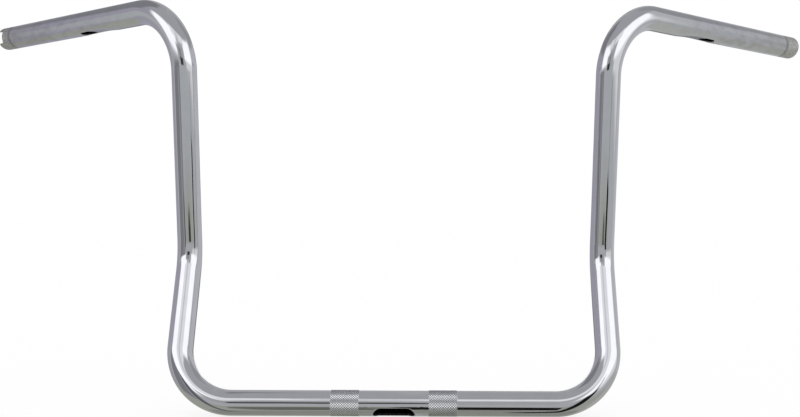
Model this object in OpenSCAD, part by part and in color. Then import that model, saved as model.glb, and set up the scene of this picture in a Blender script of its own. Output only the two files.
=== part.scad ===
// Tall motorcycle handlebar, bent from one length of steel tube.
// The origin is the middle of the level clamp tube, on its axis.
// X runs across the bike, -Y is the front of the bike, the arms run back to +Y, and +Z is up.

/* [Tube] */
// Outside diameter of the tube, the one inch size of grips and clamps
tube_d = 25.4; // [22.2:0.1:31.8]
// Thickness of the tube's wall
wall = 2.4; // [1.6:0.1:3.2]
// Centre line radius of every bend
bend_r = 56; // [45:1:62]
// How much thinner drawing the tube round a bend leaves its radius
bend_draw = 0.03; // [0.01:0.01:0.1]
// Chamfer on the inner and outer edge of both cut ends
end_chamfer = 0.6; // [0.2:0.1:0.7]

/* [Clamp tube] */
// Width between the bend points at the foot of the two risers
foot_w = 430; // [390:1:460]
// Distance between the middles of the two knurled bands
knurl_gap = 96; // [85:1:120]
// Length of each knurled band
knurl_len = 28; // [20:1:34]
// How far the rolled knurl stands proud of the tube
knurl_rise = 0.2; // [0.05:0.05:0.4]

/* [Wire slot] */
// Length of the wire slot in the middle of the clamp tube
slot_len = 41; // [30:1:48]
// Width of the wire slot
slot_w = 16; // [10:1:18]
// How far the slot faces down from straight ahead, in degrees
slot_dip = 52; // [40:1:90]

/* [Risers] */
// Width between the bend points of the two kinks
kink_w = 430; // [400:1:450]
// Height of the kinks above the clamp tube
kink_h = 141; // [125:1:160]
// How far the kinks stand behind the clamp tube
kink_back = 60; // [40:1:80]
// Width between the bend points of the two shoulders
shoulder_w = 424; // [400:1:450]
// Height of the shoulders above the clamp tube
shoulder_h = 391; // [330:1:440]
// How far the shoulders stand behind the clamp tube
shoulder_back = 8; // [0:1:30]

/* [Arms] */
// Length of each arm from its shoulder's bend point to its cut end
arm_len = 318; // [300:1:360]
// How far the arms sweep back from straight out, in degrees
arm_sweep = 37; // [25:1:42]
// How far the arms drop towards the grips, in degrees
arm_drop = 1; // [0:1:10]

/* [Wire holes and dimples] */
// Distance from the cut end to the middle of a wire hole
hole_from_end = 163; // [150:1:170]
// Length of a wire hole
hole_len = 21; // [15:1:24]
// Width of a wire hole
hole_w = 12; // [8:1:13]
// How far the dimple's middle lies inboard of the wire hole's middle
dimple_inboard = 20; // [14:1:24]
// Length of a dimple along the arm
dimple_len = 54; // [44:1:60]
// Depth of a dimple at its middle
dimple_depth = 2.3; // [1:0.1:3]

/* [Throttle notch] */
// Width of the notch in the cut end of the throttle arm
notch_w = 13.5; // [8:0.5:15]
// Depth of the notch along the arm
notch_depth = 9; // [6:0.5:15]
// Radius of the notch's two inner corners
notch_corner = 3; // [1:0.5:3.5]

/* [Hidden] */
$fn = 96;
tube_r = tube_d / 2;
bore_r = tube_r - wall;
// Cutting shapes reach this far past the wall they cut
past = 4;
// Straight stretches lap this far over the bends that they meet
lap = 0.8;
// Wedges and dies stand this far clear of the surface that they cut
over = 1;

// Corner points of the right half of the centre line, from the middle outwards
arm_dir = [cos(arm_sweep) * cos(arm_drop), sin(arm_sweep) * cos(arm_drop), -sin(arm_drop)];
foot_point = [foot_w / 2, 0, 0];
kink_point = [kink_w / 2, kink_back, kink_h];
shoulder_point = [shoulder_w / 2, shoulder_back, shoulder_h];
end_point = shoulder_point + arm_len * arm_dir;
route = [[0, 0, 0], foot_point, kink_point, shoulder_point, end_point];
last_leg = len(route) - 2;

// Radius of the die that presses a dimple of this length and depth
die_r = (pow(dimple_len / 2, 2) + pow(dimple_depth, 2)) / (2 * dimple_depth);

function unit(v) = v / norm(v);
// Direction of the leg that leaves corner i
function leg(i) = unit(route[i + 1] - route[i]);
// Angle that the tube turns through at corner i
function turn(i) = acos(leg(i - 1) * leg(i));
// Length that the bend at corner i takes from each of its legs
function setback(i) = i > last_leg ? 0 : bend_r * tan(turn(i) / 2);

// Draws its children at origin, with their Z along dir and their Y towards up
module place(origin, dir, up) {
    z = unit(dir);
    x = unit(cross(up, z));
    y = cross(z, x);
    multmatrix([
        [x[0], y[0], z[0], origin[0]],
        [x[1], y[1], z[1], origin[1]],
        [x[2], y[2], z[2], origin[2]]
    ])
        children();
}

// Draws its children on the right and mirrored on the left
module both_sides() {
    children();
    mirror([1, 0, 0])
        children();
}

// Draws its children this far in from the right arm's cut end, Z along the arm and Y up
module on_arm(from_end) {
    place(end_point - from_end * arm_dir, arm_dir, [0, 0, 1])
        children();
}

// The straight bar that leaves corner i, lapped over its bend, with this much more at its far end
module straight(i, r, extra) {
    length = norm(route[i + 1] - route[i]) - setback(i) - setback(i + 1);
    place(route[i] + (setback(i) - lap) * leg(i), leg(i), [1, 0, 0])
        cylinder(r = r, h = length + lap + extra);
}

// The bent bar at corner i, turned about the middle of its arc
module bend(i, r) {
    inward = unit(leg(i) - leg(i - 1));
    middle = route[i] + inward * bend_r / cos(turn(i) / 2);
    axis = cross(leg(i - 1), leg(i));
    place(middle, axis, cross(axis, -inward))
        rotate(-turn(i) / 2)
            rotate_extrude(angle = turn(i))
                translate([bend_r, 0])
                    circle(r = r - bend_draw);
}

// The whole bar, solid, from cut end to cut end, with extra length at both
module bent_bar(r, extra = 0) {
    rotate([0, 90, 0])
        cylinder(r = r, h = foot_w - 2 * setback(1) + 2 * lap, center = true);
    both_sides() {
        for (i = [1 : last_leg]) {
            bend(i, r);
            straight(i, r, i == last_leg ? extra : lap);
        }
    }
}

// The two bands where the risers clamp, at the height of their knurl's crests
module knurled_bands() {
    both_sides()
        translate([knurl_gap / 2, 0, 0])
            rotate([0, 90, 0])
                cylinder(r = tube_r + knurl_rise, h = knurl_len, center = true);
}

// The die that presses a dimple into the underside of the right arm, grown by skin
module dimple_die(skin) {
    reach = dimple_len / 2 + 2 * over;
    on_arm(hole_from_end + dimple_inboard)
        intersection() {
            translate([0, dimple_depth - tube_r - die_r, 0])
                rotate([0, 90, 0])
                    cylinder(r = die_r + skin, h = 2 * tube_d, center = true);
            translate([-tube_d, -tube_r - over, -reach])
                cube([2 * tube_d, dimple_depth + skin + 2 * over, 2 * reach]);
        }
}

// A round ended slot cut through the bar's -Y side, long along Z
module slot_cut(length, width) {
    reach = tube_r + past;
    straight_len = length - width;
    for (side = [-1, 1])
        translate([0, 0, side * straight_len / 2])
            rotate([90, 0, 0])
                cylinder(d = width, h = reach);
    translate([-width / 2, -reach, -straight_len / 2])
        cube([width, reach, straight_len]);
}

// The slot in the clamp tube where the wires go in
module wire_slot() {
    place([0, 0, 0], [1, 0, 0], [0, cos(slot_dip), sin(slot_dip)])
        slot_cut(slot_len, slot_w);
}

// The hole in the underside of the right arm where the switch wires come out
module wire_hole() {
    on_arm(hole_from_end)
        slot_cut(hole_len, hole_w);
}

// Section of the wedge that breaks an edge at this radius, side 1 for outer and -1 for inner
module edge_wedge(r, side) {
    polygon([
        [r - side * (end_chamfer + over), over],
        [r + side * over, -end_chamfer - over],
        [r + side * over, over]
    ]);
}

// What the chamfers take off the outer and inner edge of the right arm's cut end
module end_break() {
    on_arm(0)
        rotate_extrude() {
            edge_wedge(tube_r, 1);
            edge_wedge(bore_r, -1);
        }
}

// Outline of the throttle notch, with its mouth along +X
module notch_outline() {
    half_w = notch_w / 2;
    corner_x = notch_corner - notch_depth;
    translate([corner_x, -half_w])
        square([past - corner_x, notch_w]);
    translate([-notch_depth, notch_corner - half_w])
        square([notch_corner, notch_w - 2 * notch_corner]);
    for (side = [-1, 1])
        translate([corner_x, side * (half_w - notch_corner)])
            circle(r = notch_corner);
}

// The notch that locates the twist grip, in the front of the left arm's cut end
module throttle_notch() {
    mirror([1, 0, 0])
        on_arm(0)
            rotate([0, -90, 0])
                linear_extrude(tube_r + past)
                    notch_outline();
}

module handlebar() {
    color("gainsboro")
        difference() {
            union() {
                difference() {
                    bent_bar(tube_r);
                    both_sides()
                        dimple_die(0);
                }
                knurled_bands();
            }
            difference() {
                bent_bar(bore_r, past);
                both_sides()
                    dimple_die(wall);
            }
            both_sides() {
                wire_hole();
                end_break();
            }
            wire_slot();
            throttle_notch();
        }
}

handlebar();
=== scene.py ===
from collections import namedtuple
from math import acos, asin, atan2, ceil, cos, hypot, pi, radians, sin, sqrt, tan

import bmesh
import bpy
from mathutils import Matrix, Vector


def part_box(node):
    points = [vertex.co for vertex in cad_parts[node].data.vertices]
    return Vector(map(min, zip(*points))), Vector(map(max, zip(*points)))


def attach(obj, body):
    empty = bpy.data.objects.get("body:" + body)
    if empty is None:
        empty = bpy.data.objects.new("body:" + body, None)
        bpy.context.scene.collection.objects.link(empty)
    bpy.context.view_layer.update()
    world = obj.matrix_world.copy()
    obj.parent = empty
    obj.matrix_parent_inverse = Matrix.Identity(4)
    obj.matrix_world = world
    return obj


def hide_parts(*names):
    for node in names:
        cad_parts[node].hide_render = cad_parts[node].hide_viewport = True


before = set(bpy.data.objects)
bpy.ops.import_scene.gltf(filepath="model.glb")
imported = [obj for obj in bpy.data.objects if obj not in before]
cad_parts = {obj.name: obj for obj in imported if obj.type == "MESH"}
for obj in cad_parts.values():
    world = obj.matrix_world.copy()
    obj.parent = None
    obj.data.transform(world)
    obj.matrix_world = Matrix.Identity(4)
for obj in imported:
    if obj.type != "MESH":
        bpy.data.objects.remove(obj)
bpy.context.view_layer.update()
# The tube is worked out in millimetres, and all else is in metres
MM = 0.001
# Numbers closer than this are the same
TINY = 1e-6

# The photograph's camera, in metres and radians, in the row's frame
CAMERA_AT = (0.0253, -0.9272, 0.2068)
CAMERA_YAW = 0.0179
CAMERA_PITCH = 0.0081
CAMERA_ROLL = 0.0084
FOCAL_PX = 942.3
FRAME_W, FRAME_H = 800, 417
# Where the lens points in the frame, in pixels from its top left corner
LENS_AXIS = (438.2, 201.3)
SENSOR_MM = 36.0
CLIP_START = 0.01

# The tube and its route, as in the part's source
TUBE_R = 12.7
BORE_R = 10.3
BEND_R = 56.0
SWEEP = radians(37)
DROP = radians(1)
ARM_LEN = 318.0
ARM_DIR = Vector((cos(SWEEP) * cos(DROP), sin(SWEEP) * cos(DROP), -sin(DROP)))
ROUTE = [Vector(p) for p in ((0, 0, 0), (215, 0, 0), (215, 60, 141), (212, 8, 391))]
ROUTE.append(ROUTE[3] + ARM_LEN * ARM_DIR)
# Radius of the cut ends' rounded edges
EDGE_R = 0.6

# The knurled bands, by distance from the middle, and the heights of their relief
KNURL_FROM = 34.0
KNURL_TO = 62.0
KNURL_CREST = 12.89
KNURL_ROOT = 12.5
KNURL_STEP = 1.25
KNURL_EDGE = 0.25

# The wire slot and the wire holes, as (length, width), and how far their rounded edges reach
SLOT = (41.0, 16.0)
SLOT_DIP = radians(52)
HOLE = (21.0, 12.0)
HOLE_FROM_END = 163.0
CUT_EDGE_OUT = 0.7
CUT_EDGE_IN = 0.4

# The dimples, and how soft the edge of their pressing is
DIMPLE_FROM_END = 183.0
DIMPLE_LEN = 54.0
DIMPLE_DEPTH = 2.3
DIE_R = ((DIMPLE_LEN / 2) ** 2 + DIMPLE_DEPTH**2) / (2 * DIMPLE_DEPTH)
DIMPLE_SOFT = 1.2

# The throttle notch
NOTCH_W = 13.5
NOTCH_DEPTH = 9.0
NOTCH_CORNER = 3.0

# Facets round the tube, and the point 3/4 round, in the middle of the slot and of the wire holes
ROUND = 64
UNDER = ROUND * 3 // 4
# Facets of half the notch: on its floor, round its corner and up its flank
NOTCH_FLOOR, NOTCH_TURN, NOTCH_FLANK = 3, 4, 5
# The patch of the grid that each cut-out takes: half its length, and its facets to each side
SLOT_HALF, SLOT_COLS = 27.0, 10
HOLE_HALF, HOLE_COLS = 15.0, 8
# How far from the cut end the rings begin to follow the end's outline
RIM_BACK = 14.0
# Largest steps between rings
LONG_STEP = 30
OUTER_BEND_STEP, INNER_BEND_STEP = 3.0, 6.0
SLOT_STEP = 2.25
NEAR_KNURL_STEP = 4
DIMPLE_STEP = 2
HOLE_STEP = 1.5
# How far the dimple's rings go on past it, at its inner end and beyond the wire hole
DIMPLE_PAST, HOLE_PAST = 4, 6
# Shares of the way from a patch to its cut's edge, where more loops lie
PATCH_SHARES = (0.3, 0.6, 0.85)
# How far the loops before the cut ends are drawn back from the rim, outside and in the bore
RIM_SHARES, BORE_RIM_SHARES = (0.8, 0.6, 0.4, 0.2, 0.06), (0.4, 0.75)
# Facets over the rounded edges of the cuts and of the ends, outside and inside
CUT_TURN_OUT, CUT_TURN_IN = 5, 3
END_TURN_OUT, END_TURN_IN = 4, 3

Stretch = namedtuple("Stretch", "start at axes middle axis")
Cut = namedtuple("Cut", "middle half cols size")
# A noise whose pattern is squeezed this many times along, across and up the tube
Noise = namedtuple("Noise", "squeeze scale detail")


class Path:
    """The right half of the tube's centre line by arc length, with axes (along, u, v) at each point.

    The slot is on the -v side at the middle, and the axes twist so that -v is down on the arms.
    """

    def __init__(self):
        v = Vector((0, cos(SLOT_DIP), sin(SLOT_DIP)))
        along = Vector((1, 0, 0))
        axes = Matrix((along, v.cross(along), v)).transposed()
        self.stretches = []
        self.bends = []
        at, start = ROUTE[0], 0.0
        for i in range(1, len(ROUTE)):
            leg = (ROUTE[i] - ROUTE[i - 1]).normalized()
            last = i == len(ROUTE) - 1
            ahead = leg if last else (ROUTE[i + 1] - ROUTE[i]).normalized()
            angle = 0.0 if last else acos(leg.dot(ahead))
            setback = BEND_R * tan(angle / 2)
            length = (ROUTE[i] - leg * setback - at).length
            self.stretches.append(Stretch(start, at, axes.copy(), None, None))
            start += length
            at = at + leg * length
            if last:
                break
            middle = ROUTE[i] + (ahead - leg).normalized() * BEND_R / cos(angle / 2)
            axis = leg.cross(ahead).normalized()
            self.stretches.append(Stretch(start, at, axes.copy(), middle, axis))
            self.bends.append((start, start + BEND_R * angle))
            axes = Matrix.Rotation(angle, 3, axis) @ axes
            at = ROUTE[i] + ahead * setback
            start += BEND_R * angle
        self.end = start
        up = ARM_DIR.cross(Vector((0, 0, 1)).cross(ARM_DIR)).normalized()
        self.twist = atan2(-up.dot(axes.col[1]), up.dot(axes.col[2]))

    def at(self, s):
        """Centre, u and v at arc length s from the middle; a negative s is the mirrored half."""
        far = abs(s)
        stretch = [one for one in self.stretches if one.start <= far + TINY][-1]
        run = far - stretch.start
        if stretch.middle is None:
            centre, axes = stretch.at + stretch.axes.col[0] * run, stretch.axes
        else:
            spin = Matrix.Rotation(run / BEND_R, 3, stretch.axis)
            centre = stretch.middle + spin @ (stretch.at - stretch.middle)
            axes = spin @ stretch.axes
        first, last = self.bends[0][0], self.bends[-1][1]
        share = min(max((far - first) / (last - first), 0), 1)
        angle = self.twist * share
        u = axes.col[1] * cos(angle) + axes.col[2] * sin(angle)
        v = axes.col[2] * cos(angle) - axes.col[1] * sin(angle)
        if s < 0:
            centre, u, v = (Vector((-p.x, p.y, p.z)) for p in (centre, u, v))
        return centre, u, v


PATH = Path()


def soft_min(a, b, soft):
    """The smaller of a and b, with a round corner where they cross."""
    return min(a, b) - max(soft - abs(a - b), 0) ** 2 / (4 * soft)


def under_height(s, across, radius):
    """How far below the axis the wall is, on the side of the holes, with the dimple pressed in."""
    height = sqrt(max(radius**2 - across**2, 0))
    off = abs(s) - (PATH.end - DIMPLE_FROM_END)
    reach = DIE_R + TUBE_R - radius
    if abs(off) < DIMPLE_LEN:
        die = TUBE_R + DIE_R - DIMPLE_DEPTH - sqrt(reach**2 - off**2)
        height = soft_min(height, die, DIMPLE_SOFT)
    return height


def quarter(steps):
    """Angles from 0 to a quarter turn, in equal steps."""
    return [k / steps * pi / 2 for k in range(steps + 1)]


def spread(stretches):
    """Arc lengths from 0 to each (end, step) in turn, in equal steps of at most that size."""
    out = [0.0]
    start = 0.0
    for end, step in stretches:
        count = max(1, ceil((end - start) / step - TINY))
        out += [start + (end - start) * k / count for k in range(1, count + 1)]
        start = end
    return out


def stations(inner):
    """Arc lengths of the rings on the right half, of the bore where inner is true."""
    stretches = [(SLOT_HALF, SLOT_STEP), (KNURL_FROM - KNURL_EDGE, NEAR_KNURL_STEP)]
    if not inner:
        stretches += [
            (KNURL_FROM, LONG_STEP),
            (KNURL_FROM + KNURL_EDGE, LONG_STEP),
            (KNURL_TO - KNURL_EDGE, KNURL_STEP),
            (KNURL_TO, LONG_STEP),
        ]
    stretches.append((KNURL_TO + KNURL_EDGE, LONG_STEP))
    for start, end in PATH.bends:
        stretches += [(start, LONG_STEP), (end, INNER_BEND_STEP if inner else OUTER_BEND_STEP)]
    hole = PATH.end - HOLE_FROM_END
    stretches += [
        (PATH.end - DIMPLE_FROM_END - DIMPLE_LEN / 2 - DIMPLE_PAST, LONG_STEP),
        (hole - HOLE_HALF, DIMPLE_STEP),
        (hole + HOLE_HALF, HOLE_STEP),
        (hole + HOLE_HALF + HOLE_PAST, DIMPLE_STEP),
        (PATH.end - RIM_BACK, LONG_STEP),
    ]
    return spread(stretches)


class Skin:
    """Collects the tube's points and faces, and what the material needs to know of each point."""

    def __init__(self):
        self.points = []
        self.places = []
        self.raw_shaded_bore = []
        self.groove = []
        self.faces = []
        self.flat = []

    def point(self, s, across, height, raw_shaded_bore=0.0, groove=0.0):
        """A point at arc length s, across along u and height along -v.

        raw is 1 inside the bore, which is unplated steel with painted shade, and groove is 1 at the root
        of the knurl, where shade is painted.
        """
        centre, u, v = PATH.at(s)
        self.points.append(centre + u * across - v * height)
        self.places.append((s, across, height))
        self.raw_shaded_bore.append(raw_shaded_bore)
        self.groove.append(groove)
        return len(self.points) - 1

    def ring(self, s, radii, raw_shaded_bore=0.0):
        """A ring of points whose radii take turns."""
        out = []
        for j in range(ROUND):
            angle = 2 * pi * j / ROUND
            radius = radii[j % len(radii)]
            across, height = radius * cos(angle), -radius * sin(angle)
            if height > 0:
                height = min(height, under_height(s, across, radius))
            out.append(self.point(s, across, height, raw_shaded_bore, float(radius == KNURL_ROOT)))
        return out

    def bridge(self, a, b, gap=None):
        """Quads between two rings or loops, but not over the facets in gap."""
        count = len(a)
        for j in range(count):
            if gap and gap[0] <= j < gap[1]:
                continue
            n = (j + 1) % count
            self.faces.append((a[j], b[j], b[n], a[n]))

    def knurl(self, a, b, row):
        """Triangles between two rings, folded along the grooves."""
        for j in range(ROUND):
            n = (j + 1) % ROUND
            quad = (a[j], b[j], b[n], a[n])
            if (row + j) % 2 == 0:
                halves = [(quad[0], quad[1], quad[2]), (quad[0], quad[2], quad[3])]
            else:
                halves = [(quad[0], quad[1], quad[3]), (quad[1], quad[2], quad[3])]
            for half in halves:
                self.flat.append(len(self.faces))
                self.faces.append(half)


def stadium(direction, length, width):
    """Where a ray from the middle of a round ended slot leaves it."""
    dx, dy = direction
    size = hypot(dx, dy)
    dx, dy = dx / size, dy / size
    r, e = width / 2, (length - width) / 2
    if abs(dy) > TINY and abs(dx) * r / abs(dy) <= e:
        reach = r / abs(dy)
    else:
        reach = e * abs(dx) + sqrt(r**2 - (e * dy) ** 2)
    return dx * reach, dy * reach


def patch_edge(rings, ids, cut, radius):
    """The grid's points round a cut's patch, in order, with their (along, across) from its middle."""
    low, high = UNDER - cut.cols, UNDER + cut.cols
    loop = [(k, low) for k in range(len(rings) - 1)]
    loop += [(len(rings) - 1, j) for j in range(low, high)]
    loop += [(k, high) for k in range(len(rings) - 1, 0, -1)]
    loop += [(0, j) for j in range(high, low, -1)]
    places = [(rings[k] - cut.middle, radius * cos(2 * pi * j / ROUND)) for k, j in loop]
    return [ids[k][j] for k, j in loop], places


def blend(a, b, share):
    """Places part of the way from those of loop a to those of loop b."""
    return [
        (p[0] * (1 - share) + q[0] * share, p[1] * (1 - share) + q[1] * share)
        for p, q in zip(a, b)
    ]


def pierce(skin, outer, inner, cut):
    """Fills a cut's patch with its round ended hole, its rounded edges and the wall between them.

    outer and inner are the arc lengths and the points of the patch's rings, outside and in the bore.
    """
    out_ids, out_places = patch_edge(*outer, cut, TUBE_R)
    in_ids, in_places = patch_edge(*inner, cut, BORE_R)
    half_l = max(place[0] for place in out_places)
    half_w = TUBE_R * sin(pi * 2 * cut.cols / ROUND)
    rays = [(a * cut.size[0] / half_l, b * cut.size[1] / half_w) for a, b in out_places]

    def outline(grow):
        return [stadium(ray, cut.size[0] + 2 * grow, cut.size[1] + 2 * grow) for ray in rays]

    def loop(places, radius, sink):
        # Points on the bore's side of the cut get the bore's painted shade
        raw_shaded_bore = float(radius < TUBE_R)
        return [
            skin.point(cut.middle + a, b, under_height(cut.middle + a, b, radius) - sink, raw_shaded_bore)
            for a, b in places
        ]

    loops = [out_ids]
    for share in PATCH_SHARES:
        loops.append(loop(blend(out_places, outline(CUT_EDGE_OUT), share), TUBE_R, 0))
    for t in quarter(CUT_TURN_OUT):
        sink = CUT_EDGE_OUT * (1 - cos(t))
        loops.append(loop(outline(CUT_EDGE_OUT * (1 - sin(t))), TUBE_R, sink))
    for t in reversed(quarter(CUT_TURN_IN)):
        sink = -CUT_EDGE_IN * (1 - cos(t))
        loops.append(loop(outline(CUT_EDGE_IN * (1 - sin(t))), BORE_R, sink))
    loops.append(loop(blend(outline(CUT_EDGE_IN), in_places, 0.5), BORE_R, 0))
    loops.append(in_ids)
    for a, b in zip(loops, loops[1:]):
        skin.bridge(a, b)


def rim_place(j, radius, inset, notched):
    """(angle, distance beyond the cut end) of point j of the end's outline, set back by inset."""
    if not notched:
        return 2 * pi * j / ROUND, -inset
    half = ROUND // 2
    side = 1 if j >= half else -1
    step = abs(j - half)
    to_flank = NOTCH_FLOOR + NOTCH_TURN
    to_rim = to_flank + NOTCH_FLANK
    half_w, deep, bend = NOTCH_W / 2 + inset, NOTCH_DEPTH + inset, NOTCH_CORNER + inset
    if step <= NOTCH_FLOOR:
        across, beyond = (half_w - bend) * step / NOTCH_FLOOR, -deep
    elif step <= to_flank:
        turn = (step - NOTCH_FLOOR) / NOTCH_TURN * pi / 2
        across = half_w - bend + bend * sin(turn)
        beyond = bend - deep - bend * cos(turn)
    elif step <= to_rim:
        t = (step - to_flank) / NOTCH_FLANK
        across, beyond = half_w, (bend - deep) * (1 - t) - inset * t
    else:
        t = (step - to_rim) / (half - to_rim)
        return pi + side * (asin(half_w / radius) * (1 - t) + pi * t), -inset
    return pi + side * asin(across / radius), beyond


def cap_end(skin, side, outer_ring, inner_ring, notched):
    """Closes the wall at a cut end: out to the rim, over its rounded edges and back in."""

    def loop(radius, inset, back=0.0):
        """The end's outline at this radius, drawn back by this share towards a plain ring."""
        out = []
        for j in range(ROUND):
            angle, beyond = rim_place(j, radius, inset, notched)
            base = 2 * pi * j / ROUND
            if base - angle > pi:
                angle += 2 * pi
            elif angle - base > pi:
                angle -= 2 * pi
            angle += (base - angle) * back
            beyond += (-RIM_BACK - beyond) * back
            # Points on the bore's side of the end's rounded edge get the bore's painted shade
            raw_shaded_bore = float(radius < BORE_R + 0.5 * EDGE_R)
            place = side * (PATH.end + beyond)
            out.append(skin.point(place, radius * cos(angle), -radius * sin(angle), raw_shaded_bore))
        return out

    loops = [outer_ring]
    loops += [loop(TUBE_R, EDGE_R, back) for back in RIM_SHARES]
    for t in quarter(END_TURN_OUT):
        loops.append(loop(TUBE_R - EDGE_R * (1 - cos(t)), EDGE_R * (1 - sin(t))))
    for t in reversed(quarter(END_TURN_IN)):
        loops.append(loop(BORE_R + EDGE_R * (1 - cos(t)), EDGE_R * (1 - sin(t))))
    loops += [loop(BORE_R, EDGE_R, back) for back in BORE_RIM_SHARES]
    loops.append(inner_ring)
    for a, b in zip(loops, loops[1:]):
        skin.bridge(a, b)


def lay_rings(skin, inner, cuts):
    """Lays the rings of the outside or the bore and joins them, and leaves each cut's patch open."""
    right = stations(inner)
    rings = [-s for s in reversed(right[1:])] + right
    ids, rows = [], []
    row = 0
    for s in rings:
        knurled = not inner and KNURL_FROM + TINY < abs(s) < KNURL_TO - TINY
        row = row + 1 if knurled else 0
        rows.append(row)
        if knurled:
            radii = (KNURL_CREST, KNURL_ROOT) if row % 2 else (KNURL_ROOT, KNURL_CREST)
        else:
            radii = (BORE_R if inner else TUBE_R,)
        ids.append(skin.ring(s, radii, float(inner)))
    for k in range(len(rings) - 1):
        gap = None
        for cut in cuts:
            low, high = cut.middle - cut.half - TINY, cut.middle + cut.half + TINY
            if low < rings[k] and rings[k + 1] < high:
                gap = (UNDER - cut.cols, UNDER + cut.cols)
        if rows[k] and rows[k + 1]:
            skin.knurl(ids[k], ids[k + 1], rows[k])
        else:
            skin.bridge(ids[k], ids[k + 1], gap)
    return rings, ids


def build_skin():
    skin = Skin()
    hole_at = PATH.end - HOLE_FROM_END
    cuts = [
        Cut(-hole_at, HOLE_HALF, HOLE_COLS, HOLE),
        Cut(0.0, SLOT_HALF, SLOT_COLS, SLOT),
        Cut(hole_at, HOLE_HALF, HOLE_COLS, HOLE),
    ]
    outside, bore = (lay_rings(skin, inner, cuts) for inner in (False, True))
    for cut in cuts:
        patches = []
        for rings, ids in (outside, bore):
            keep = [k for k, s in enumerate(rings) if abs(s - cut.middle) < cut.half + TINY]
            patches.append(([rings[k] for k in keep], [ids[k] for k in keep]))
        pierce(skin, *patches, cut)
    cap_end(skin, 1, outside[1][-1], bore[1][-1], False)
    cap_end(skin, -1, outside[1][0], bore[1][0], True)
    return skin


def make_bar(material):
    skin = build_skin()
    mesh = bpy.data.meshes.new("bar_skin")
    mesh.from_pydata([p * MM for p in skin.points], [], skin.faces)
    place = mesh.attributes.new("place", "FLOAT_VECTOR", "POINT")
    place.data.foreach_set("vector", [c * MM for p in skin.places for c in p])
    mesh.attributes.new("raw_shaded_bore", "FLOAT", "POINT").data.foreach_set("value", skin.raw_shaded_bore)
    mesh.attributes.new("groove", "FLOAT", "POINT").data.foreach_set("value", skin.groove)
    mesh.polygons.foreach_set("use_smooth", [True] * len(mesh.polygons))
    for k in skin.flat:
        mesh.polygons[k].use_smooth = False
    work = bmesh.new()
    work.from_mesh(mesh)
    bmesh.ops.recalc_face_normals(work, faces=work.faces)
    work.to_mesh(mesh)
    work.free()
    mesh.materials.append(material)
    bar = bpy.data.objects.new("bar_skin", mesh)
    bpy.context.collection.objects.link(bar)
    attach(bar, "root")
    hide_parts("handlebar")


class Nodes:
    """A node tree that is emptied and then filled by short calls."""

    def __init__(self, tree):
        self.tree = tree
        tree.nodes.clear()

    def add(self, kind, inputs=None, **settings):
        node = self.tree.nodes.new(kind)
        for name, value in settings.items():
            setattr(node, name, value)
        for key, value in (inputs or {}).items():
            self.feed(node.inputs[key], value)
        return node

    def feed(self, socket, value):
        if isinstance(value, bpy.types.NodeSocket):
            self.tree.links.new(value, socket)
        else:
            socket.default_value = value

    def attribute(self, name, output):
        return self.add("ShaderNodeAttribute", attribute_name=name).outputs[output]

    def math(self, operation, a, b=0.0):
        return self.add("ShaderNodeMath", {0: a, 1: b}, operation=operation).outputs[0]

    def ramp(self, value, low, high, out_low=0.0, out_high=1.0):
        """Goes smoothly from out_low to out_high while value goes from low to high."""
        inputs = dict(enumerate((value, low, high, out_low, out_high)))
        node = self.add("ShaderNodeMapRange", inputs, interpolation_type="SMOOTHSTEP")
        return node.outputs["Result"]

    def fall(self, value, low, high):
        """Goes smoothly from 1 to 0 while value goes from low to high."""
        return self.ramp(value, low, high, 1.0, 0.0)

    def noise(self, vector, noise):
        place = self.add("ShaderNodeVectorMath", {0: vector, 1: noise.squeeze}, operation="MULTIPLY")
        inputs = {"Vector": place.outputs["Vector"], "Scale": noise.scale, "Detail": noise.detail}
        return self.add("ShaderNodeTexNoise", inputs).outputs["Fac"]

    def tint(self, share, low, high):
        """Goes from colour low to colour high with share."""
        node = self.add("ShaderNodeMix", data_type="RGBA")
        self.feed(node.inputs["Factor"], share)
        self.feed(node.inputs["A"], low)
        self.feed(node.inputs["B"], high)
        return [output for output in node.outputs if output.type == "RGBA"][0]

    def finish(self, kind, shader):
        self.add(kind, {"Surface": shader.outputs[0]})


def new_material(name):
    """A material and its emptied node tree."""
    material = bpy.data.materials.new(name)
    material.use_nodes = True
    return material, Nodes(material.node_tree)


def grey(level):
    return (level, level, level, 1.0)


# Colours of the plate, by how clean it is, and of the steel where there is none
PLATE_CLEAN = (0.69, 0.69, 0.70, 1.0)
PLATE_HAZED = (0.65, 0.65, 0.66, 1.0)
PLATE_SATIN = (0.61, 0.61, 0.635, 1.0)
PLATE_HANDLED = (0.55, 0.55, 0.53, 1.0)
PLATE_STAINED = (0.40, 0.40, 0.37, 1.0)
# Painted sheen: the knurled band is coloured brighter than chrome, so that it looks lit
KNURL_PAINTED_SHEEN = (0.97, 0.97, 0.98, 1.0)
# Painted shade at the roots of the knurl's grooves
KNURL_GROOVE_SHADE = (0.33, 0.33, 0.34, 1.0)
STEEL_DARK = (0.36, 0.36, 0.33, 1.0)
STEEL_LIGHT = (0.74, 0.74, 0.69, 1.0)
SEAM_STAIN = (0.26, 0.26, 0.24, 1.0)
# Painted shade: the unplated bore is coloured near black, as if in shade
BORE_PAINTED_SHADE = (0.035, 0.033, 0.030, 1.0)

# Places along the tube where the plate changes, in metres from the cut end
DULL_FROM, DULL_TO = 0.0215, 0.0235
SEAM_RISE, SEAM_FALL = (0.0200, 0.0230), (0.0235, 0.0275)
SATIN_FROM, SATIN_TO = 0.10, 0.30
HANDLED_FROM, HANDLED_TO = 0.02, 0.11
# How far the edge of the plate wanders, and how the knurl's look fades at its band's edges, in metres
SEAM_WANDER = 0.004
KNURL_FADE_IN, KNURL_FADE_OUT = 0.0002, 0.0001
# How deep in the groove its painted shade begins, and where it is all painted shade
GROOVE_SHADE_FROM, GROOVE_SHADE_TO = 0.35, 0.85

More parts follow.
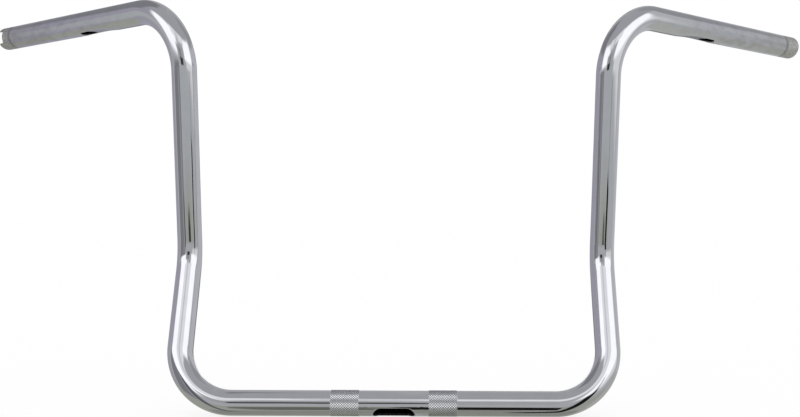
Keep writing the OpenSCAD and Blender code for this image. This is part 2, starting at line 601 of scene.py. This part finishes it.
# Patches of wear, by kind: the noise, and the part of its range where the wear comes in
EVEN = (1.0, 1.0, 1.0)
WEAR = {
    "haze": (Noise(EVEN, 70.0, 6.0), 0.35, 0.70),
    "hairs": (Noise((9.0, 0.6, 0.6), 420.0, 2.0), 0.60, 0.72),
    "smudge": (Noise(EVEN, 22.0, 4.0), 0.55, 0.75),
    "grain": (Noise(EVEN, 900.0, 3.0), 0.35, 0.70),
    "stains": (Noise((0.5, 1.0, 1.0), 150.0, 5.0), 0.42, 0.66),
}
SEAM_NOISE = Noise(EVEN, 160.0, 3.0)

# Relief: the slight wave that bending and polishing leave, and the pits of the bare ends
WAVE_NOISE, WAVE_HEIGHT = Noise((0.35, 1.0, 1.0), 60.0, 1.0), 0.00035
PIT_NOISE, PIT_HEIGHT = Noise(EVEN, 700.0, 3.0), 0.00022
RELIEF_STRENGTH = 0.35

# Roughness of clean plate, and what each kind of wear adds to it
ROUGH_CLEAN = 0.045
ROUGH_MORE = {
    "haze": 0.035,
    "hairs": 0.03,
    "smudge": 0.04,
    "satin": 0.09,
    "dull": 0.28,
    "knurl": 0.16,
    "raw_shaded_bore": 0.45,
}
# How much of its colour a kind of wear shows, where that isn't all of it
COLOUR_SHARE = {"haze": 0.6, "satin": 0.8, "handled": 0.9, "stains": 0.4, "seam": 0.75}


def wear_masks(n, place):
    """What is 1 where the surface is worn, bare, knurled or in the unplated bore, by kind; the knurl,
    its grooves and the bore also carry painted sheen and painted shade.
    """
    along = n.add("ShaderNodeSeparateXYZ", {0: place}).outputs["X"]
    from_middle = n.math("ABSOLUTE", along)
    from_end = n.math("SUBTRACT", PATH.end * MM, from_middle)
    wander = n.math("MULTIPLY", n.math("SUBTRACT", n.noise(place, SEAM_NOISE), 0.5), SEAM_WANDER)
    edge = n.math("ADD", from_end, wander)
    off_band = n.math("ABSOLUTE", n.math("SUBTRACT", from_middle, (KNURL_FROM + KNURL_TO) / 2 * MM))
    band_half = (KNURL_TO - KNURL_FROM) / 2 * MM
    masks = {kind: n.ramp(n.noise(place, noise), low, high) for kind, (noise, low, high) in WEAR.items()}
    masks["satin"] = n.fall(from_end, SATIN_FROM, SATIN_TO)
    masks["stains"] = n.math("MULTIPLY", masks["stains"], masks["satin"])
    masks["handled"] = n.fall(from_end, HANDLED_FROM, HANDLED_TO)
    masks["dull"] = n.fall(edge, DULL_FROM, DULL_TO)
    masks["seam"] = n.math("MULTIPLY", n.ramp(edge, *SEAM_RISE), n.fall(edge, *SEAM_FALL))
    masks["knurl"] = n.fall(off_band, band_half - KNURL_FADE_IN, band_half + KNURL_FADE_OUT)
    # Painted shade deepens towards the roots of the knurl's grooves
    masks["groove"] = n.ramp(n.attribute("groove", "Fac"), GROOVE_SHADE_FROM, GROOVE_SHADE_TO)
    # The bore's mask adds roughness for its unplated steel and carries its painted shade
    masks["raw_shaded_bore"] = n.attribute("raw_shaded_bore", "Fac")
    return masks


def chrome_material():
    """Chrome plate, with dull bare ends under the grips, a painted sheen on the knurl and painted shade
    in its grooves, and an unplated steel bore painted near black as shade.
    """
    material, n = new_material("chrome_plate")
    place = n.attribute("place", "Vector")
    masks = wear_masks(n, place)

    rough = ROUGH_CLEAN
    for kind, more in ROUGH_MORE.items():
        rough = n.math("ADD", rough, n.math("MULTIPLY", masks[kind], more))

    # Each colour lies over those before it
    colours = {
        "haze": PLATE_HAZED,
        "satin": PLATE_SATIN,
        # Painted sheen over the knurled band
        "knurl": KNURL_PAINTED_SHEEN,
        # Painted shade in the knurl's grooves
        "groove": KNURL_GROOVE_SHADE,
        "handled": PLATE_HANDLED,
        "stains": PLATE_STAINED,
        "dull": n.tint(masks["grain"], STEEL_DARK, STEEL_LIGHT),
        "seam": SEAM_STAIN,
        # Painted shade in the bore
        "raw_shaded_bore": BORE_PAINTED_SHADE,
    }
    colour = PLATE_CLEAN
    for kind, over in colours.items():
        share = n.math("MULTIPLY", masks[kind], COLOUR_SHARE.get(kind, 1.0))
        colour = n.tint(share, colour, over)

    wave = n.math("MULTIPLY", n.noise(place, WAVE_NOISE), WAVE_HEIGHT)
    pits = n.math("MULTIPLY", n.math("MULTIPLY", n.noise(place, PIT_NOISE), masks["dull"]), PIT_HEIGHT)
    height = n.math("ADD", wave, pits)
    relief = n.add("ShaderNodeBump", {"Strength": RELIEF_STRENGTH, "Distance": 1.0, "Height": height})
    shader = n.add(
        "ShaderNodeBsdfPrincipled",
        {"Base Color": colour, "Metallic": 1.0, "Roughness": rough, "Normal": relief.outputs[0]},
    )
    n.finish("ShaderNodeOutputMaterial", shader)
    return material


# The studio: curved cards round this point that only the chrome sees
STUDIO_MIDDLE = Vector((0.0, 0.05, 0.2))
# Size of a card's facets, in degrees
CARD_FACET = 6
# By name: azimuths and elevations in degrees, distance in metres, radiance, soft edge in degrees.
# Azimuth 0 is in front of the bar, where the camera is, and 90 is towards +X.
# The nearer cards cover those farther out.
CARDS = {
    "shell": ((-180, 180), (-90, 90), 3.30, (0.50, 0.50, 0.51), 0),
    "back": ((148, 212), (-34, 46), 3.10, (0.56, 0.56, 0.57), 6),
    "rear_frame": ((150, 210), (-20, 34), 3.08, (0.22, 0.22, 0.23), 5),
    "rear_softbox": ((161, 199), (-8, 24), 3.06, (1.20, 1.21, 1.23), 5),
    "left_wall": ((-160, -70), (-40, 50), 3.00, (0.42, 0.41, 0.48), 8),
    "right_wall": ((70, 160), (-40, 50), 3.00, (0.59, 0.60, 0.64), 8),
    "low_front": ((-100, 100), (-38, 14), 2.95, (0.50, 0.52, 0.54), 6),
    "ceiling": ((-180, 180), (42, 90), 2.90, (0.44, 0.45, 0.48), 6),
    "floor_far": ((-180, 180), (-64, -18), 2.85, (0.42, 0.43, 0.39), 8),
    "floor_right": ((80, 156), (-56, -12), 2.83, (0.51, 0.52, 0.50), 8),
    "floor_near": ((-180, 180), (-90, -56), 2.80, (0.31, 0.32, 0.29), 6),
    "back_left_dark": ((-156, -82), (24, 74), 2.75, (0.26, 0.26, 0.29), 8),
    "back_right_dark": ((96, 156), (26, 70), 2.75, (0.36, 0.37, 0.39), 8),
    "right_spill": ((26, 92), (-12, 18), 2.72, (0.88, 0.89, 0.90), 9),
    "softbox_left": ((-77, -13), (0, 44), 2.70, (1.40, 1.41, 1.46), 9),
    "softbox_right": ((17, 86), (1, 45), 2.70, (1.40, 1.41, 1.46), 8),
    "softbox_top": ((-34, 34), (27, 47), 2.66, (0.97, 0.99, 1.03), 4),
    "softbox_joint": ((-13, 3), (22, 44), 2.65, (0.72, 0.74, 0.78), 4),
    "camera_halo": ((-31, 15), (-4, 22), 2.62, (0.45, 0.46, 0.48), 6),
    "camera_dark": ((-18, 1), (0, 20), 2.60, (0.32, 0.33, 0.35), 4),
    "camera_body": ((-19, 3), (-2.5, 8), 1.45, (0.05, 0.05, 0.05), 1.2),
    "left_body": ((-86, -38), (-34, 6), 1.00, (0.25, 0.25, 0.28), 4),
    "left_body_edge": ((-57, -47), (-34, 2), 0.98, (0.40, 0.40, 0.43), 4),
    "left_post": ((-61, -53), (-60, -12), 0.44, (0.13, 0.13, 0.14), 2),
    "right_post": ((42, 48), (-70, 2), 0.62, (0.30, 0.30, 0.31), 2.5),
    "right_foot": ((38, 52), (-70, -13), 0.60, (0.01, 0.01, 0.01), 2),
    "right_dark": ((-3, 19), (-49, -24), 2.50, (0.01, 0.01, 0.01), 2),
    "right_dark_low": ((-2, 18), (-60, -50), 2.50, (0.22, 0.22, 0.20), 4),
    "left_dark": ((-21, -1), (-56, -26), 2.50, (0.16, 0.17, 0.15), 4),
}


def card_mesh(name, azimuths, elevations, distance):
    """A patch of a sphere, whose points know their share of the way across it and up."""
    wide = max(2, round((azimuths[1] - azimuths[0]) / CARD_FACET))
    tall = max(2, round((elevations[1] - elevations[0]) / CARD_FACET))
    points, shares, faces = [], [], []
    for i in range(wide + 1):
        for j in range(tall + 1):
            az = radians(azimuths[0] + (azimuths[1] - azimuths[0]) * i / wide)
            el = radians(elevations[0] + (elevations[1] - elevations[0]) * j / tall)
            way = Vector((sin(az) * cos(el), -cos(az) * cos(el), sin(el)))
            points.append(STUDIO_MIDDLE + way * distance)
            shares += [i / wide, j / tall, 0.0]
    for i in range(wide):
        for j in range(tall):
            a = i * (tall + 1) + j
            faces.append((a, a + tall + 1, a + tall + 2, a + 1))
    mesh = bpy.data.meshes.new(name)
    mesh.from_pydata(points, [], faces)
    mesh.attributes.new("share", "FLOAT_VECTOR", "POINT").data.foreach_set("vector", shares)
    return mesh


def card_material(name, span, radiance, edge):
    """A glow that fades to clear over the card's edge; span is the card's size in degrees."""
    material, n = new_material(name)
    glow = n.add("ShaderNodeEmission", {"Color": (*radiance, 1.0), "Strength": 1.0})
    if edge:
        parts = n.add("ShaderNodeSeparateXYZ", {0: n.attribute("share", "Vector")})
        fades = []
        for axis, size in zip("XY", span):
            share = parts.outputs[axis]
            nearest = n.math("MINIMUM", share, n.math("SUBTRACT", 1.0, share))
            fades.append(n.ramp(n.math("MULTIPLY", nearest, size), 0.0, edge))
        cover = n.math("MULTIPLY", *fades)
        clear = n.add("ShaderNodeBsdfTransparent")
        glow = n.add("ShaderNodeMixShader", {0: cover, 1: clear.outputs[0], 2: glow.outputs[0]})
    n.finish("ShaderNodeOutputMaterial", glow)
    return material


def make_card(name, azimuths, elevations, distance, radiance, edge):
    mesh = card_mesh(name, azimuths, elevations, distance)
    span = (azimuths[1] - azimuths[0], elevations[1] - elevations[0])
    mesh.materials.append(card_material(name, span, radiance, edge))
    card = bpy.data.objects.new(name, mesh)
    bpy.context.collection.objects.link(card)
    card.visible_camera = False
    card.visible_diffuse = False
    card.visible_transmission = False
    card.visible_shadow = False


def make_world():
    world = bpy.data.worlds.new("studio")
    bpy.context.scene.world = world
    world.use_nodes = True
    n = Nodes(world.node_tree)
    white = n.add("ShaderNodeBackground", {"Color": grey(1.0), "Strength": 1.0})
    n.finish("ShaderNodeOutputWorld", white)


# Half the floor's side in metres, its paint, and the share of plain white in what is seen of it
FLOOR_HALF = 6.0
FLOOR_PAINT = grey(0.97)
FLOOR_WHITE = 0.85


def make_floor(height):
    """A pale floor at this height, which keeps the bar's shadow."""
    corners = [(-FLOOR_HALF, -FLOOR_HALF), (FLOOR_HALF, -FLOOR_HALF)]
    corners += [(FLOOR_HALF, FLOOR_HALF), (-FLOOR_HALF, FLOOR_HALF)]
    mesh = bpy.data.meshes.new("floor")
    mesh.from_pydata([(x, y, height) for x, y in corners], [], [(0, 1, 2, 3)])
    floor = bpy.data.objects.new("floor", mesh)
    bpy.context.collection.objects.link(floor)
    material, n = new_material("pale_floor")
    paint = n.add("ShaderNodeBsdfDiffuse", {"Color": FLOOR_PAINT})
    glow = n.add("ShaderNodeEmission", {"Color": grey(1.0), "Strength": 1.0})
    path = n.add("ShaderNodeLightPath")
    seen = n.math("MAXIMUM", path.outputs["Is Camera Ray"], path.outputs["Is Glossy Ray"])
    seen = n.math("MAXIMUM", seen, path.outputs["Is Transmission Ray"])
    white = n.math("MULTIPLY", seen, FLOOR_WHITE)
    both = n.add("ShaderNodeMixShader", {0: white, 1: paint.outputs[0], 2: glow.outputs[0]})
    n.finish("ShaderNodeOutputMaterial", both)
    mesh.materials.append(material)
    # The cards stand in for the floor in the chrome
    floor.visible_glossy = False


def make_camera():
    data = bpy.data.cameras.new("photo_camera")
    data.sensor_fit = "HORIZONTAL"
    data.sensor_width = SENSOR_MM
    data.lens = FOCAL_PX / FRAME_W * SENSOR_MM
    data.shift_x = (FRAME_W / 2 - LENS_AXIS[0]) / FRAME_W
    data.shift_y = (LENS_AXIS[1] - FRAME_H / 2) / FRAME_W
    data.clip_start = CLIP_START
    camera = bpy.data.objects.new("photo_camera", data)
    bpy.context.collection.objects.link(camera)
    right = Vector((cos(CAMERA_YAW), -sin(CAMERA_YAW), 0.0))
    level = Vector((sin(CAMERA_YAW), cos(CAMERA_YAW), 0.0))
    forward = cos(CAMERA_PITCH) * level - sin(CAMERA_PITCH) * Vector((0.0, 0.0, 1.0))
    up = right.cross(forward)
    tilted_right = cos(CAMERA_ROLL) * right + sin(CAMERA_ROLL) * up
    tilted_up = cos(CAMERA_ROLL) * up - sin(CAMERA_ROLL) * right
    turn = Matrix((tilted_right, tilted_up, -forward)).transposed().to_4x4()
    camera.matrix_world = Matrix.Translation(CAMERA_AT) @ turn
    bpy.context.scene.camera = camera


lowest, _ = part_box("handlebar")
make_world()
make_floor(lowest.z)
for card_name, card in CARDS.items():
    make_card(card_name, *card)
make_camera()
make_bar(chrome_material())

bpy.context.scene.view_settings.view_transform = "Standard"
bpy.context.view_layer.update()
